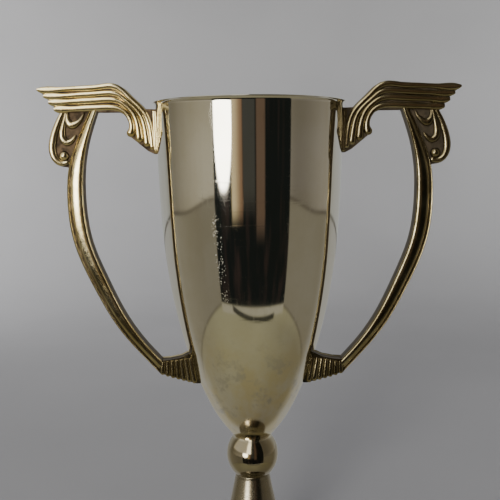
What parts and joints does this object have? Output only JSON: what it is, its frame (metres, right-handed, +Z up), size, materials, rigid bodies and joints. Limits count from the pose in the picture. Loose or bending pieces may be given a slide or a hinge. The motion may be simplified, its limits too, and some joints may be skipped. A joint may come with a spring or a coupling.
{
  "type": "trophy cup",
  "caption": "Two-handled presentation cup with a tall bullet-shaped silver-plated bowl, gilt winged scroll handles, a ball knop and a spun trumpet foot.",
  "frame": {"origin": "centre of the circle that the foot stands on", "axes": "+Z up along the cup's axis; the two handles lie along +X and -X; +Y is from front to back"},
  "size_m": [0.2192, 0.1, 0.2757],
  "materials": {
    "silver_plate": "worn silver plate on spun brass, polished, lightly tarnished",
    "gilt_casting": "polished gilt brass casting with dark oxidised recesses",
    "bare_brass": "dull turned brass",
    "plated_nut": "dull nickel plate",
    "plated_screw": "dull nickel plate"
  },
  "bodies": {
    "root": {"bowl": "silver_plate", "ball_knop": "silver_plate", "trumpet_foot": "silver_plate", "base_ring": "silver_plate", "right_handle": "gilt_casting", "left_handle": "gilt_casting", "tie_rod": "bare_brass", "bowl_washer": "bare_brass", "dome_nut": "plated_nut", "foot_washer": "bare_brass", "foot_nut": "bare_brass", "handle_washers": "bare_brass", "upper_handle_screws": "plated_screw", "lower_handle_screws": "plated_screw"}
  },
  "joints": []
}
